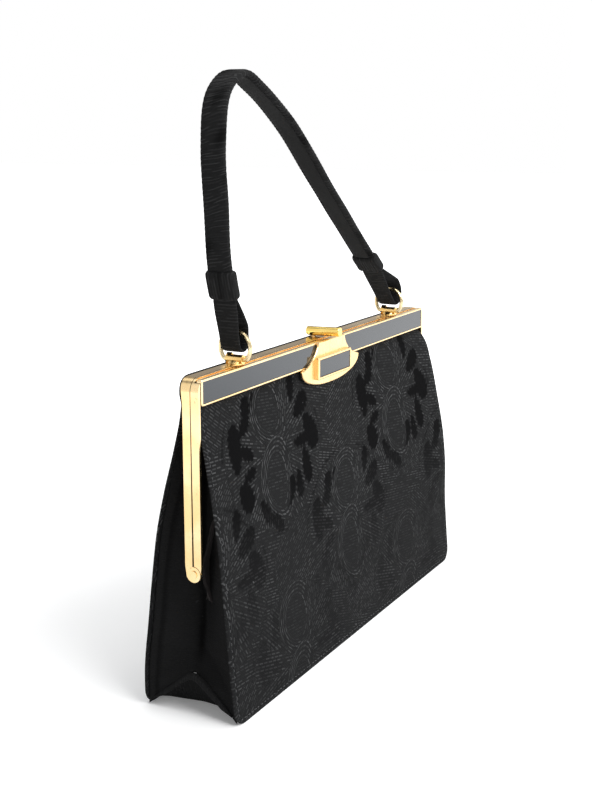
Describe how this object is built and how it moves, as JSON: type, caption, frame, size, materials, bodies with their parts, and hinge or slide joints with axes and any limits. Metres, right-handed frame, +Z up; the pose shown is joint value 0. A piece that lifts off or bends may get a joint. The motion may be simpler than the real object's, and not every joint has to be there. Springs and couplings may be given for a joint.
{
  "type": "framed evening handbag",
  "caption": "Framed evening handbag in black brocade, with a hinged gilt frame, black inlays, a flip latch and a short strap handle on swinging D-rings.",
  "frame": {"origin": "middle of the bag's footprint, on the surface it stands on", "axes": "+X along the bag's width to the right as seen from the front, the front faces -Y, +Z up"},
  "size_m": [0.261, 0.0521, 0.2937],
  "materials": {
    "gilt": "polished gilt plating",
    "lever_gilt": "polished gilt plating",
    "ring_gilt": "pale gilt wire",
    "black_gloss": "glossy black inlay",
    "brocade": "black figured brocade",
    "gusset_cloth": "fine black cloth",
    "plain_cloth": "plain black facing",
    "lining_cloth": "black lining cloth"
  },
  "bodies": {
    "bag": {"rear_frame": "gilt", "rear_panel": "brocade", "gusset_left": "gusset_cloth", "gusset_right": "gusset_cloth", "bottom_panel": "gusset_cloth", "front_panel": "brocade", "lining": "lining_cloth", "handle_post_left": "gilt", "handle_post_right": "gilt", "post_nuts": "gilt", "latch_lug": "gilt", "latch_pin": "lever_gilt", "hinge_rivets": "gilt"},
    "front_half": {"front_frame": "gilt", "fascia": "gilt", "inlay_left": "black_gloss", "inlay_right": "black_gloss", "escutcheon": "gilt", "clasp_block": "gilt", "clasp_inlay": "black_gloss"},
    "lever": {"latch_lever": "lever_gilt"},
    "left_ring": {"ring_left": "ring_gilt"},
    "right_ring": {"ring_right": "ring_gilt"},
    "handle": {"handle_strap": "brocade", "handle_facing": "plain_cloth", "keeper_left": "brocade", "keeper_right": "brocade"}
  },
  "joints": [
    {"name": "frame_open", "type": "hinge", "parent": "bag", "child": "front_half", "pos_m": [0, -0.00065, 0.069], "axis": [1, 0, 0], "range_deg": [0, 40], "deforming": ["front_panel", "gusset_left", "gusset_right", "lining"]},
    {"name": "lever_flip", "type": "hinge", "parent": "bag", "child": "lever", "pos_m": [0, 0.006, 0.1618], "axis": [-1, 0, 0], "range_deg": [0, 90]},
    {"name": "ring_left_swing", "type": "hinge", "parent": "bag", "child": "left_ring", "pos_m": [-0.08725, 0, 0.1624], "axis": [0, 1, 0], "range_deg": [-25, 25]},
    {"name": "ring_right_swing", "type": "hinge", "parent": "bag", "child": "right_ring", "pos_m": [0.08725, 0, 0.1624], "axis": [0, 1, 0], "range_deg": [-25, 25]},
    {"name": "handle_pivot", "type": "hinge", "parent": "left_ring", "child": "handle", "pos_m": [-0.08725, 0, 0.1756], "axis": [0, 1, 0], "range_deg": [-25, 25]}
  ],
  "couplings": [
    {"joint": "ring_right_swing", "follows": "ring_left_swing", "ratio": 1},
    {"joint": "handle_pivot", "follows": "ring_left_swing", "ratio": -1}
  ]
}
